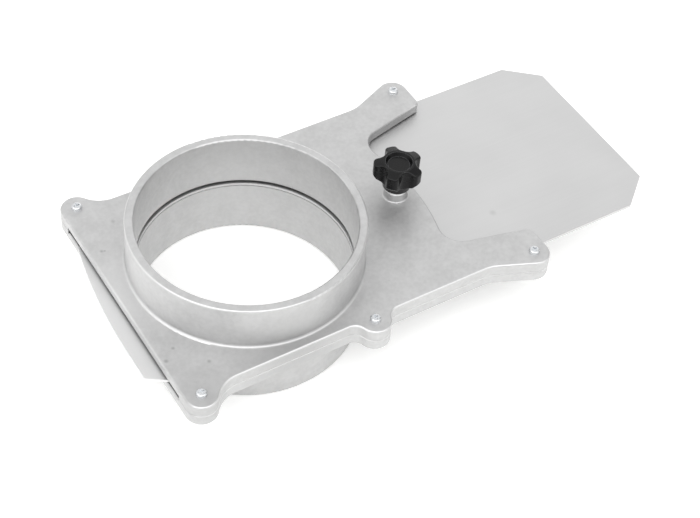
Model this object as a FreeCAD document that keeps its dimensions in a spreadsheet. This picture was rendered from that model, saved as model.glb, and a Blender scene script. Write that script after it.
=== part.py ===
import FreeCAD, Part
import math
import os

import Sketcher

# Blast gate for a 6 inch duct, in millimetres.
# Origin: on the duct's axis, where the two castings meet. +X runs along the slide towards its
# pull end, +Y is across it, and +Z is the side with the lock knob.

SIZES = [
    ("duct_outside", 152.0, "outside diameter of both collars"),
    ("collar_wall", 5.9, "wall of a collar"),
    ("collar_stand", 32.4, "how far a collar stands above its plate"),
    ("collar_root_round", 2.0, "fillet where the collar meets the plate"),
    ("rim_round", 1.3, "round on the outer edge of a rim"),
    ("rim_inner_round", 1.0, "round on the inner edge of a rim"),
    ("plate_thick", 8.4, "thickness of one casting's plate"),
    ("left_land", 11.7, "plate to the left of the collar"),
    ("channel_wall", 6.4, "casting beside the slide channel"),
    ("plate_round", 1.4, "round on the outer edges of a plate"),
    ("parting_round", 0.9, "round on the edges where the castings meet"),
    ("ear_radius", 10.6, "radius of a screw ear"),
    ("ear_stand_out", 2.1, "line of screws beyond a long edge"),
    ("arm_length", 48.7, "base of the notch to the end of an arm"),
    ("blend_left", 20.0, "fillet from a left ear to the long edge"),
    ("blend_middle", 8.0, "fillet beside a middle ear"),
    ("wing_length", 32.6, "where a long edge turns out, before the right screw"),
    ("blend_wing", 25.0, "round where it turns out"),
    ("arm_end_width", 29.2, "width of an arm at its end, ear included"),
    ("arm_taper", 13.0, "slant of an arm's inner edge, in degrees"),
    ("arm_tip_round", 5.5, "round on the inner end of an arm"),
    ("notch_distance", 51.5, "collar to the base of the notch"),
    ("notch_bow", 150.0, "radius of the bowed base"),
    ("notch_corner", 14.5, "fillet in the corners of the notch"),
    ("channel_depth", 1.8, "depth of the slide channel in each casting"),
    ("channel_mouth_round", 1.4, "round on the left end of the channel"),
    ("relief_height", 3.6, "relief round the upper bore, above the channel"),
    ("relief_width", 1.8, "how far the relief reaches out from the bore"),
    ("slide_thick", 2.0, "thickness of the sheet slide"),
    ("slide_margin", 6.1, "sheet beside the port"),
    ("slide_side_gap", 0.6, "room beside the slide in its channel"),
    ("slide_floor_gap", 0.2, "running gap under the slide"),
    ("slide_reach", 100.9, "pull end beyond the arms"),
    ("slide_tail", 11.0, "left end beyond the plate"),
    ("pull_crop_long", 22.9, "cropped corner at the pull end, along X"),
    ("pull_crop_across", 18.9, "cropped corner at the pull end, along Y"),
    ("left_crop_long", 34.2, "cropped corner at the left end, along X"),
    ("left_crop_across", 22.9, "cropped corner at the left end, along Y"),
    ("end_bow", 410.0, "radius of the left end's curved trim"),
    ("end_bow_start", 30.0, "where the curved trim starts, in front of the centre line"),
    ("slide_corner", 1.8, "round on the slide's corners"),
    ("port_margin", 0.3, "how much larger the slide's port is than the bore"),
    ("boss_distance", 14.5, "lock boss to the base of the notch"),
    ("boss_diameter", 15.5, "diameter of the lock boss"),
    ("boss_stand", 7.0, "how far the boss stands above the plate"),
    ("boss_root_round", 1.4, "fillet where the boss meets the plate"),
    ("boss_chamfer", 0.7, "chamfer on the boss"),
    ("stud_diameter", 8.0, "thread diameter of the lock stud"),
    ("stud_fit", 0.05, "radial clearance round the stud"),
    ("stud_tip_gap", 0.3, "stud tip above the slide when done up"),
    ("stud_end_chamfer", 0.8, "chamfer on the stud's ends"),
    ("stud_grip", 11.0, "length of stud inside the knob"),
    ("knob_gap", 0.4, "hub of the knob above the boss when done up"),
    ("knob_diameter", 33.0, "diameter over the lobes"),
    ("knob_height", 23.0, "overall height of the knob"),
    ("knob_lobes", 5.0, "number of lobes"),
    ("knob_turned", 6.0, "angle of the first lobe from +X, in degrees"),
    ("lobe_top_drop", 1.8, "how much lower the lobes are than the top at their edge"),
    ("lobe_side", 8.6, "height of a lobe's side"),
    ("flute_radius", 5.4, "radius of the hollows between the lobes"),
    ("flute_set_in", 0.1, "middle of a hollow inside the circle over the lobes"),
    ("flute_margin", 0.6, "least flat between the dish's land and a hollow"),
    ("lobe_round", 2.8, "round on the lobes' upright edges"),
    ("foot_bevel_across", 1.7, "bevel under a lobe's side, inwards"),
    ("foot_bevel_height", 2.2, "bevel under a lobe's side, in height"),
    ("top_edge_round", 1.3, "round on the top edges of the lobes and hollows"),
    ("dish_depth", 2.6, "depth of the dish"),
    ("dish_slope", 1.6, "how far the dish's side slopes in"),
    ("land_width", 1.5, "flat ring round the dish"),
    ("hub_diameter", 14.6, "diameter of the hub's underside"),
    ("hub_bevel", 2.0, "height of the bevel from the hub's underside to the neck"),
    ("neck_diameter", 18.6, "diameter of the neck above that bevel"),
    ("neck_top_diameter", 20.6, "diameter of the neck under the lobes"),
    ("neck_height", 7.6, "height of the neck's top"),
    ("neck_root_round", 1.2, "fillet where the neck meets the lobes"),
    ("screw_diameter", 3.5, "shank diameter of a case screw"),
    ("screw_point", 0.5, "chamfer on a case screw's end"),
    ("screw_room", 0.2, "radial clearance of the screw holes"),
    ("screw_past_nut", 2.6, "case screw beyond its nut"),
    ("head_diameter", 6.9, "pan head diameter"),
    ("head_height", 2.3, "pan head height"),
    ("head_round", 1.3, "round on the pan head"),
    ("cross_width", 1.1, "width of the cross recess"),
    ("cross_length", 3.9, "length of the cross recess"),
    ("cross_depth", 1.3, "depth of the cross recess"),
    ("nut_across", 7.9, "nut across flats"),
    ("nut_height", 2.8, "nut height"),
    ("nut_fit", 0.03, "clearance of the nut round the shank"),
    ("nut_bevel_width", 0.94, "how far the bevel reaches in from the nut's corners"),
    ("nut_bevel_height", 0.54, "height of the bevel at the nut's corners"),
]

# Built-up lengths, as formulas over the sheet. X and Y ones are from the duct's axis.
COLLAR = "(sizes.duct_outside / 2)"
BORE = f"({COLLAR} - sizes.collar_wall)"
PORT = f"({BORE} + sizes.port_margin)"
SLIDE_EDGE = f"({PORT} + sizes.slide_margin)"
CHANNEL_EDGE = f"({SLIDE_EDGE} + sizes.slide_side_gap)"
LONG_EDGE = f"({CHANNEL_EDGE} + sizes.channel_wall)"
EAR_LINE = f"({LONG_EDGE} + sizes.ear_stand_out)"
PLATE_LEFT = f"({COLLAR} + sizes.left_land)"
NOTCH_BASE = f"({COLLAR} + sizes.notch_distance)"
ARM_END = f"({NOTCH_BASE} + sizes.arm_length)"
ARM_TIP = f"({EAR_LINE} + sizes.ear_radius - sizes.arm_end_width)"
EAR_LEFT = f"({PLATE_LEFT} - sizes.ear_radius)"
EAR_RIGHT = f"({ARM_END} - sizes.ear_radius)"
EAR_MIDDLE = f"(({EAR_RIGHT} - {EAR_LEFT}) / 2)"
WING_START = f"({EAR_RIGHT} - sizes.wing_length)"
SLIDE_LEFT = f"({PLATE_LEFT} + sizes.slide_tail)"
SLIDE_RIGHT = f"({ARM_END} + sizes.slide_reach)"
BOSS_AT = f"({NOTCH_BASE} - sizes.boss_distance)"
RIM = "(sizes.plate_thick + sizes.collar_stand)"
BOSS_TOP = "(sizes.plate_thick + sizes.boss_stand)"
SLIDE_UNDERSIDE = "(-sizes.channel_depth + sizes.slide_floor_gap)"
SLIDE_TOP = f"({SLIDE_UNDERSIDE} + sizes.slide_thick)"
STUD_RADIUS = "(sizes.stud_diameter / 2 - sizes.stud_fit)"
STUD_TIP = f"({SLIDE_TOP} + sizes.stud_tip_gap)"
HUB_UNDERSIDE = f"({BOSS_TOP} + sizes.knob_gap)"
LOBE_TIP = "(sizes.knob_diameter / 2)"
FLUTE_CIRCLE = f"({LOBE_TIP} - sizes.flute_set_in)"
LAND_EDGE = f"({FLUTE_CIRCLE} - sizes.flute_radius - sizes.flute_margin)"
DISH_EDGE = f"({LAND_EDGE} - sizes.land_width)"
SCREW_LENGTH = "(2 * sizes.plate_thick + sizes.nut_height + sizes.screw_past_nut)"

NEAR = 1e-4

doc = FreeCAD.newDocument("blast_gate")
sheet = doc.addObject("Spreadsheet::Sheet", "sizes")
for row, (name, size, meaning) in enumerate(SIZES, start=1):
    sheet.set(f"A{row}", meaning)
    sheet.set(f"B{row}", str(size))
    sheet.setAlias(f"B{row}", name)
doc.recompute()


def value(formula):
    """The number that a formula over the sheet gives now."""
    result = sheet.evalExpression(formula)
    return float(getattr(result, "Value", result))


def new_body(label):
    """An empty sub-part with its own label."""
    body = doc.addObject("PartDesign::Body", label)
    body.Label = label
    return body


def sketch_on(body, name, plane="XY_Plane", height="0"):
    """A sketch on one of the body's origin planes, raised by a formula."""
    sketch = body.newObject("Sketcher::SketchObject", name)
    planes = [feature for feature in body.Origin.OriginFeatures if feature.Role == plane]
    sketch.AttachmentSupport = [(planes[0], "")]
    sketch.MapMode = "FlatFace"
    if height != "0":
        sketch.setExpression("AttachmentOffset.Base.z", height)
    return sketch


def bind(sketch, kind, where, formula):
    """Adds a driving constraint whose value follows a formula."""
    index = sketch.addConstraint(Sketcher.Constraint(kind, *where, value(formula)))
    sketch.renameConstraint(index, f"{kind}_{index}")
    sketch.setExpression(f"Constraints.{kind}_{index}", formula)


def pin_point(sketch, geometry, point, x, y):
    """Holds one point of a sketch at formulas x and y from the origin."""
    bind(sketch, "DistanceX", (-1, 1, geometry, point), x)
    bind(sketch, "DistanceY", (-1, 1, geometry, point), y)


def add_circle(sketch, x, y, radius):
    """A circle held at a place and a radius."""
    centre = FreeCAD.Vector(value(x), value(y), 0)
    circle = sketch.addGeometry(Part.Circle(centre, FreeCAD.Vector(0, 0, 1), value(radius)), False)
    pin_point(sketch, circle, 3, x, y)
    bind(sketch, "Radius", (circle,), radius)


def add_polygon(sketch, corners):
    """A closed polygon with each corner held by its formulas."""
    points = [FreeCAD.Vector(value(x), value(y), 0) for x, y in corners]
    count = len(points)
    lines = [
        sketch.addGeometry(Part.LineSegment(points[i], points[(i + 1) % count]), False)
        for i in range(count)
    ]
    for i in range(count):
        sketch.addConstraint(Sketcher.Constraint("Coincident", lines[i], 2, lines[(i + 1) % count], 1))
    for line, (x, y) in zip(lines, corners):
        pin_point(sketch, line, 1, x, y)


def pad(body, name, sketch, length):
    """A pad as long as a formula."""
    feature = body.newObject("PartDesign::Pad", name)
    feature.Profile = sketch
    feature.setExpression("Length", length)
    return feature


def pocket_through(body, name, sketch):
    """A cut that goes all the way up through the body."""
    feature = body.newObject("PartDesign::Pocket", name)
    feature.Profile = sketch
    feature.Type = "ThroughAll"
    feature.Reversed = True
    return feature


def pocket_up(body, name, sketch, length):
    """A cut that goes up from the sketch by a formula."""
    feature = body.newObject("PartDesign::Pocket", name)
    feature.Profile = sketch
    feature.Reversed = True
    feature.setExpression("Length", length)
    return feature


def pocket_down(body, name, sketch, length):
    """A cut that goes down from the sketch by a formula."""
    feature = body.newObject("PartDesign::Pocket", name)
    feature.Profile = sketch
    feature.setExpression("Length", length)
    return feature


def dress(body, kind, name, wanted, formula):
    """A fillet or chamfer on the edges of the body's tip that are wanted."""
    doc.recompute()
    tip = body.Tip
    names = [f"Edge{i}" for i, edge in enumerate(tip.Shape.Edges, start=1) if wanted(edge)]
    if not names:
        raise RuntimeError(f"no edges found for {name}")
    feature = body.newObject(f"PartDesign::{kind}", name)
    feature.Base = (tip, names)
    feature.setExpression("Radius" if kind == "Fillet" else "Size", formula)
    return feature


def level(edge, height):
    """Whether an edge lies flat at a height."""
    box = edge.BoundBox
    return abs(box.ZMin - height) < NEAR and abs(box.ZMax - height) < NEAR


def upright_at(edge, places):
    """Whether an edge is upright and stands at one of some places."""
    box = edge.BoundBox
    if box.XLength > NEAR or box.YLength > NEAR or box.ZLength < NEAR:
        return False
    return any(math.hypot(box.XMin - x, box.YMin - y) < 0.01 for x, y in places)


def ring_at(edge, height, radius, x=0.0, y=0.0):
    """Whether an edge is a round one at a height, about an upright axis."""
    if not level(edge, height) or not isinstance(edge.Curve, Part.Circle):
        return False
    centre = edge.Curve.Center
    return abs(edge.Curve.Radius - radius) < 0.01 and math.hypot(centre.x - x, centre.y - y) < 0.01


# %% Plate outline
# Both castings share it: a straight left edge, three screw ears on each long edge, and two arms at
# the right with a notch between them, where fingers reach the slide.


def plate_outline(sketch):
    """Draws the closed outline and holds it; returns the corners that get a fillet."""
    left = value(PLATE_LEFT)
    edge = value(LONG_EDGE)
    ear = value("sizes.ear_radius")
    offset = value(EAR_LINE)
    middle = value(EAR_MIDDLE)
    right = value(EAR_RIGHT)
    wing = value(WING_START)
    tip = value(ARM_TIP)
    base = value(NOTCH_BASE)
    bow = value("sizes.notch_bow")
    slope = math.tan(math.radians(value("sizes.arm_taper")))

    # half a chord of an ear where it leaves the long edge
    chord = math.sqrt(ear ** 2 - (offset - edge) ** 2)
    # the wing line leaves the long edge and touches the right ear's circle
    reach = math.hypot(right - wing, offset - edge)
    lean = math.atan2(offset - edge, right - wing) + math.asin(ear / reach)
    touch = (right - ear * math.sin(lean), offset + ear * math.cos(lean))
    # the arm's inner edge, from its tip to the bowed base
    end = right + ear
    centre = base - bow
    start = tip - slope * (end - centre)
    square = 1 + slope ** 2
    half = slope * start / square
    along = -half + math.sqrt(half ** 2 - (start ** 2 - bow ** 2) / square)
    root = (centre + along, start + slope * along)

    def segment(x1, y1, x2, y2):
        line = Part.LineSegment(FreeCAD.Vector(x1, y1, 0), FreeCAD.Vector(x2, y2, 0))
        return sketch.addGeometry(line, False)

    def arc(x, y, radius, first, last):
        circle = Part.Circle(FreeCAD.Vector(x, y, 0), FreeCAD.Vector(0, 0, 1), radius)
        return sketch.addGeometry(Part.ArcOfCircle(circle, first, last), False)

    rise = math.asin((offset - edge) / ear)
    turn = math.pi
    sweep = math.atan2(root[1], root[0] - centre)

    side = segment(-left, offset, -left, -offset)
    front_ear = arc(ear - left, -offset, ear, turn, 2 * turn + rise)
    front_a = segment(ear - left + chord, -edge, middle - chord, -edge)
    front_middle = arc(middle, -offset, ear, turn - rise, 2 * turn + rise)
    front_b = segment(middle + chord, -edge, wing, -edge)
    front_wing = segment(wing, -edge, touch[0], -touch[1])
    front_tip = arc(right, -offset, ear, 1.5 * turn - lean, 2 * turn)
    front_end = segment(end, -offset, end, -tip)
    front_arm = segment(end, -tip, root[0], -root[1])
    notch = arc(centre, 0, bow, -sweep, sweep)
    back_arm = segment(root[0], root[1], end, tip)
    back_end = segment(end, tip, end, offset)
    back_tip = arc(right, offset, ear, 0, 0.5 * turn + lean)
    back_wing = segment(touch[0], touch[1], wing, edge)
    back_b = segment(wing, edge, middle + chord, edge)
    back_middle = arc(middle, offset, ear, -rise, turn + rise)
    back_a = segment(middle - chord, edge, ear - left + chord, edge)
    back_ear = arc(ear - left, offset, ear, -rise, turn)

    order = [side, front_ear, front_a, front_middle, front_b, front_wing, front_tip, front_end,
             front_arm, notch, back_arm, back_end, back_tip, back_wing, back_b, back_middle,
             back_a, back_ear]
    tangent = {(front_wing, front_tip), (back_tip, back_wing)}
    for one, two in zip(order, order[1:] + order[:1]):
        kind = "Tangent" if (one, two) in tangent else "Coincident"
        sketch.addConstraint(Sketcher.Constraint(kind, one, 2, two, 1))

    for sign, left_arc, middle_arc, right_arc in (("-", front_ear, front_middle, front_tip),
                                                  ("", back_ear, back_middle, back_tip)):
        for ear_arc, x in ((left_arc, f"-{EAR_LEFT}"), (middle_arc, EAR_MIDDLE),
                           (right_arc, EAR_RIGHT)):
            pin_point(sketch, ear_arc, 3, x, sign + EAR_LINE)
            bind(sketch, "Radius", (ear_arc,), "sizes.ear_radius")
    pin_point(sketch, notch, 3, f"{NOTCH_BASE} - sizes.notch_bow", "0")
    bind(sketch, "Radius", (notch,), "sizes.notch_bow")

    # heights of the joints along the front and back edges
    for geometry, point, y in ((side, 1, EAR_LINE), (side, 2, f"-{EAR_LINE}"),
                               (front_a, 1, f"-{LONG_EDGE}"), (front_a, 2, f"-{LONG_EDGE}"),
                               (front_b, 1, f"-{LONG_EDGE}"), (front_end, 1, f"-{EAR_LINE}"),
                               (back_b, 2, LONG_EDGE), (back_a, 1, LONG_EDGE),
                               (back_a, 2, LONG_EDGE), (back_end, 2, EAR_LINE)):
        bind(sketch, "DistanceY", (-1, 1, geometry, point), y)
    pin_point(sketch, front_wing, 1, WING_START, f"-{LONG_EDGE}")
    pin_point(sketch, back_wing, 2, WING_START, LONG_EDGE)
    pin_point(sketch, front_end, 2, ARM_END, f"-{ARM_TIP}")
    pin_point(sketch, back_end, 1, ARM_END, ARM_TIP)
    bind(sketch, "Angle", (back_arm,), "sizes.arm_taper * 1 deg")
    bind(sketch, "Angle", (front_arm,), "180 deg - sizes.arm_taper * 1 deg")

    return {
        "left_blend": [(ear - left + chord, y) for y in (-edge, edge)],
        "middle_blend": [(middle + s * chord, y) for s in (-1, 1) for y in (-edge, edge)],
        "wing_blend": [(wing, y) for y in (-edge, edge)],
        "arm_tip": [(end, y) for y in (-tip, tip)],
        "notch_corner": [(root[0], y) for y in (-root[1], root[1])],
    }


# %% Castings


def casting(label, has_boss):
    """One half of the case, with its mating face at height 0 and its collar upwards."""
    body = new_body(label)
    thick = value("sizes.plate_thick")
    bore = value(BORE)
    collar = value(COLLAR)
    rim = value(RIM)
    left = value(PLATE_LEFT)
    depth = value("sizes.channel_depth")

    outline = sketch_on(body, f"{label}_outline")
    corners = plate_outline(outline)
    pad(body, f"{label}_plate", outline, "sizes.plate_thick")
    for name, formula in (("left_blend", "sizes.blend_left"), ("middle_blend", "sizes.blend_middle"),
                          ("wing_blend", "sizes.blend_wing"), ("arm_tip", "sizes.arm_tip_round"),
                          ("notch_corner", "sizes.notch_corner")):
        places = corners[name]
        dress(body, "Fillet", f"{label}_{name}", lambda edge: upright_at(edge, places), formula)
    dress(body, "Fillet", f"{label}_outer_edge", lambda edge: level(edge, thick), "sizes.plate_round")
    dress(body, "Fillet", f"{label}_parting_edge", lambda edge: level(edge, 0), "sizes.parting_round")

    ring = sketch_on(body, f"{label}_collar_ring")
    add_circle(ring, "0", "0", COLLAR)
    pad(body, f"{label}_collar", ring, RIM)
    dress(body, "Fillet", f"{label}_collar_root", lambda edge: ring_at(edge, thick, collar),
          "sizes.collar_root_round")
    dress(body, "Fillet", f"{label}_rim", lambda edge: ring_at(edge, rim, collar), "sizes.rim_round")
    hole = sketch_on(body, f"{label}_bore_circle")
    add_circle(hole, "0", "0", BORE)
    pocket_through(body, f"{label}_bore", hole)
    dress(body, "Fillet", f"{label}_rim_inside", lambda edge: ring_at(edge, rim, bore),
          "sizes.rim_inner_round")

    if has_boss:
        boss_at = value(BOSS_AT)
        boss = value("sizes.boss_diameter / 2")
        top = value(BOSS_TOP)
        disc = sketch_on(body, f"{label}_boss_disc")
        add_circle(disc, BOSS_AT, "0", "sizes.boss_diameter / 2")
        pad(body, f"{label}_boss", disc, BOSS_TOP)
        dress(body, "Fillet", f"{label}_boss_root",
              lambda edge: ring_at(edge, thick, boss, boss_at), "sizes.boss_root_round")
        dress(body, "Chamfer", f"{label}_boss_edge",
              lambda edge: ring_at(edge, top, boss, boss_at), "sizes.boss_chamfer")
        tapped = sketch_on(body, f"{label}_tapped_circle")
        add_circle(tapped, BOSS_AT, "0", "sizes.stud_diameter / 2")
        pocket_through(body, f"{label}_tapped_hole", tapped)

    channel = sketch_on(body, f"{label}_channel_area")
    run_left = f"-{PLATE_LEFT} - sizes.ear_radius"
    run_right = f"{ARM_END} + sizes.ear_radius"
    add_polygon(channel, [(run_left, f"-{CHANNEL_EDGE}"), (run_right, f"-{CHANNEL_EDGE}"),
                          (run_right, CHANNEL_EDGE), (run_left, CHANNEL_EDGE)])
    pocket_up(body, f"{label}_channel", channel, "sizes.channel_depth")
    dress(body, "Fillet", f"{label}_channel_mouth",
          lambda edge: level(edge, depth) and abs(edge.BoundBox.XMin + left) < NEAR
          and abs(edge.BoundBox.XMax + left) < NEAR,
          "sizes.channel_mouth_round")

    if has_boss:
        relief = sketch_on(body, f"{label}_relief_circle")
        add_circle(relief, "0", "0", f"{BORE} + sizes.relief_width")
        pocket_up(body, f"{label}_relief", relief, "sizes.channel_depth + sizes.relief_height")

    drilled = sketch_on(body, f"{label}_screw_circles")
    for x in (f"-{EAR_LEFT}", EAR_MIDDLE, EAR_RIGHT):
        for y in (f"-{EAR_LINE}", EAR_LINE):
            add_circle(drilled, x, y, "sizes.screw_diameter / 2 + sizes.screw_room")
    pocket_through(body, f"{label}_screw_holes", drilled)
    return body


def slide_gate():
    """The sheet slide: a long blank half, a port as large as the duct, and cropped corners."""
    body = new_body("slide_gate")
    crop = "atan(sizes.left_crop_across / sizes.left_crop_long)"
    front_corner = (f"-{SLIDE_LEFT}", f"-{SLIDE_EDGE} + sizes.left_crop_across")
    corners = [
        (f"-{SLIDE_LEFT} + sizes.left_crop_long", f"-{SLIDE_EDGE}"),
        (f"{SLIDE_RIGHT} - sizes.pull_crop_long", f"-{SLIDE_EDGE}"),
        (SLIDE_RIGHT, f"-{SLIDE_EDGE} + sizes.pull_crop_across"),
        (SLIDE_RIGHT, f"{SLIDE_EDGE} - sizes.pull_crop_across"),
        (f"{SLIDE_RIGHT} - sizes.pull_crop_long", SLIDE_EDGE),
        (f"-{SLIDE_LEFT} + sizes.left_crop_long", SLIDE_EDGE),
    ]
    points = [FreeCAD.Vector(value(x), value(y), 0) for x, y in corners]
    front = FreeCAD.Vector(value(front_corner[0]), value(front_corner[1]), 0)

    # the back corner's crop runs down to meet the curved trim of the left end
    bow = value("sizes.end_bow")
    centre = FreeCAD.Vector(bow - value(SLIDE_LEFT), -value("sizes.end_bow_start"), 0)
    lean = math.radians(value(crop))
    step = FreeCAD.Vector(-math.cos(lean), -math.sin(lean), 0)
    away = points[-1] - centre
    inward = away.dot(step)
    trimmed = points[-1] + step * (math.sqrt(inward ** 2 - away.dot(away) + bow ** 2) - inward)
    curve_top = trimmed - centre
    curve_foot = centre + FreeCAD.Vector(-bow, 0, 0)

    outline = sketch_on(body, "slide_outline")
    path = points + [trimmed]
    lines = [outline.addGeometry(Part.LineSegment(a, b), False) for a, b in zip(path, path[1:])]
    circle = Part.Circle(centre, FreeCAD.Vector(0, 0, 1), bow)
    trim = Part.ArcOfCircle(circle, math.atan2(curve_top.y, curve_top.x), math.pi)
    curve = outline.addGeometry(trim, False)
    end_line = outline.addGeometry(Part.LineSegment(curve_foot, front), False)
    front_line = outline.addGeometry(Part.LineSegment(front, points[0]), False)
    order = lines + [curve, end_line, front_line]
    for one, two in zip(order, order[1:] + order[:1]):
        outline.addConstraint(Sketcher.Constraint("Coincident", one, 2, two, 1))
    for line, (x, y) in zip(lines, corners):
        pin_point(outline, line, 1, x, y)
    bind(outline, "Angle", (lines[-1],), f"-180 deg + {crop}")
    pin_point(outline, curve, 3, f"sizes.end_bow - {SLIDE_LEFT}", "-sizes.end_bow_start")
    bind(outline, "Radius", (curve,), "sizes.end_bow")
    bind(outline, "DistanceY", (-1, 1, end_line, 1), "-sizes.end_bow_start")
    pin_point(outline, front_line, 1, *front_corner)

    pad(body, "slide_sheet", outline, "sizes.slide_thick")
    places = [(point.x, point.y) for point in path + [front]]
    dress(body, "Fillet", "slide_corners", lambda edge: upright_at(edge, places),
          "sizes.slide_corner")
    port = sketch_on(body, "slide_port_circle")
    add_circle(port, "0", "0", PORT)
    pocket_through(body, "slide_port", port)
    body.setExpression("Placement.Base.z", SLIDE_UNDERSIDE)
    return body


# %% Lock
# The knob is turned from a profile, then hollowed between its lobes. Its own height 0 is the hub's
# underside, and the stud's is the stud's tip.


def revolve(body, name, corners):
    """A solid of revolution about Z from a closed profile of radius and height formulas."""
    profile = sketch_on(body, f"{name}_profile", "XZ_Plane")
    add_polygon(profile, corners)
    feature = body.newObject("PartDesign::Revolution", name)
    feature.Profile = profile
    feature.ReferenceAxis = (profile, ["V_Axis"])
    feature.Angle = 360
    return profile, feature


def lock_knob():
    """The moulded star knob, dished on top, with lobes that taper to a hub."""
    body = new_body("lock_knob")
    top = "sizes.knob_height"
    lobe_top = f"{top} - sizes.lobe_top_drop"
    lobe_foot = f"{lobe_top} - sizes.lobe_side"
    stud_top = "sizes.stud_grip + sizes.stud_tip_gap"
    neck_top = "sizes.neck_top_diameter / 2"
    revolve(body, "knob_blank", [
        ("sizes.stud_diameter / 2", "0"),
        ("sizes.hub_diameter / 2", "0"),
        ("sizes.neck_diameter / 2", "sizes.hub_bevel"),
        (neck_top, "sizes.neck_height"),
        (f"{LOBE_TIP} - sizes.foot_bevel_across", f"{lobe_foot} - sizes.foot_bevel_height"),
        (LOBE_TIP, lobe_foot),
        (LOBE_TIP, lobe_top),
        (LAND_EDGE, top),
        (DISH_EDGE, top),
        (f"{DISH_EDGE} - sizes.dish_slope", f"{top} - sizes.dish_depth"),
        ("0", f"{top} - sizes.dish_depth"),
        ("0", stud_top),
        ("sizes.stud_diameter / 2", stud_top),
    ])
    dress(body, "Fillet", "knob_neck_root",
          lambda edge: ring_at(edge, value("sizes.neck_height"), value(neck_top)),
          "sizes.neck_root_round")
    flute = sketch_on(body, "knob_flute_circle")
    count = round(value("sizes.knob_lobes"))
    between = "(180 deg / sizes.knob_lobes)"
    add_circle(flute, f"{FLUTE_CIRCLE} * cos({between})", f"{FLUTE_CIRCLE} * sin({between})",
               "sizes.flute_radius")
    first = pocket_through(body, "knob_flute", flute)
    doc.recompute()
    pattern = body.newObject("PartDesign::PolarPattern", "knob_flutes")
    pattern.Originals = [first]
    pattern.Axis = (flute, ["N_Axis"])
    pattern.Angle = 360
    pattern.Occurrences = count
    body.Tip = pattern
    lobe_tip = value(LOBE_TIP)
    dress(body, "Fillet", "knob_lobe_corners",
          lambda edge: edge.BoundBox.ZLength > value("sizes.lobe_side") / 2
          and edge.BoundBox.XLength < NEAR
          and edge.BoundBox.YLength < NEAR
          and abs(math.hypot(edge.BoundBox.XMin, edge.BoundBox.YMin) - lobe_tip) < 0.01,
          "sizes.lobe_round")
    land = value(LAND_EDGE)
    dress(body, "Fillet", "knob_top_edge",
          lambda edge: edge.BoundBox.ZMin > value(lobe_top) - NEAR
          and math.hypot(edge.CenterOfMass.x, edge.CenterOfMass.y) > land,
          "sizes.top_edge_round")
    body.setExpression("Placement.Base.x", BOSS_AT)
    body.setExpression("Placement.Base.z", HUB_UNDERSIDE)
    body.setExpression("Placement.Rotation.Angle", "sizes.knob_turned * 1 deg")
    return body


def lock_stud():
    """The stud: its tip stands just above the slide, and its upper end is held in the knob."""
    body = new_body("lock_stud")
    length = f"({HUB_UNDERSIDE} + sizes.stud_grip - {STUD_TIP})"
    radius = STUD_RADIUS
    cut = "sizes.stud_end_chamfer"
    revolve(body, "stud_blank", [
        ("0", "0"),
        (f"{radius} - {cut}", "0"),
        (radius, cut),
        (radius, f"{length} - {cut}"),
        (f"{radius} - {cut}", length),
        ("0", length),
    ])
    body.setExpression("Placement.Base.x", BOSS_AT)
    body.setExpression("Placement.Base.z", STUD_TIP)
    return body


# %% Fasteners
# One screw and one nut are modelled at the origin and set at each of the six ears.


def screw_pattern():
    """A cross-recessed pan-head screw, standing with its head's underside at height 0."""
    body = new_body("screw_pattern")
    shank = "sizes.screw_diameter / 2"
    head = "sizes.head_diameter / 2"
    cap = "sizes.head_height"
    revolve(body, "screw_blank", [
        ("0", f"-{SCREW_LENGTH}"),
        (f"{shank} - sizes.screw_point", f"-{SCREW_LENGTH}"),
        (shank, f"-{SCREW_LENGTH} + sizes.screw_point"),
        (shank, "0"),
        (head, "0"),
        (head, cap),
        ("0", cap),
    ])
    dress(body, "Fillet", "screw_head_round",
          lambda edge: ring_at(edge, value(cap), value(head)), "sizes.head_round")
    recess = sketch_on(body, "cross_area", height=cap)
    half = "sizes.cross_width / 2"
    arm = "sizes.cross_length / 2"
    add_polygon(recess, [
        (half, half), (half, arm), (f"-{half}", arm), (f"-{half}", half),
        (f"-{arm}", half), (f"-{arm}", f"-{half}"), (f"-{half}", f"-{half}"),
        (f"-{half}", f"-{arm}"), (half, f"-{arm}"), (half, f"-{half}"),
        (arm, f"-{half}"), (arm, half),
    ])
    pocket_down(body, "cross_recess", recess, "sizes.cross_depth")
    return body


def nut_pattern():
    """A hexagon nut hanging from height 0, its free face bevelled."""
    body = new_body("nut_pattern")
    corner = "(sizes.nut_across / 2 / cos(30 deg))"
    hexagon = sketch_on(body, "nut_hexagon", height="-sizes.nut_height")
    add_polygon(hexagon, [(f"{corner} * cos({turn} deg)", f"{corner} * sin({turn} deg)")
                          for turn in range(0, 360, 60)])
    pad(body, "nut_blank", hexagon, "sizes.nut_height")
    bevel = sketch_on(body, "nut_bevel_profile", "XZ_Plane")
    add_polygon(bevel, [
        (f"{corner} - sizes.nut_bevel_width", "-sizes.nut_height"),
        (f"{corner} + sizes.nut_bevel_width", "-sizes.nut_height"),
        (f"{corner} + sizes.nut_bevel_width", "-sizes.nut_height + 2 * sizes.nut_bevel_height"),
    ])
    groove = body.newObject("PartDesign::Groove", "nut_bevelled")
    groove.Profile = bevel
    groove.ReferenceAxis = (bevel, ["V_Axis"])
    groove.Angle = 360
    hole = sketch_on(body, "nut_hole_circle", height="-sizes.nut_height")
    add_circle(hole, "0", "0", "sizes.screw_diameter / 2 + sizes.nut_fit")
    pocket_through(body, "nut_hole", hole)
    return body


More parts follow.
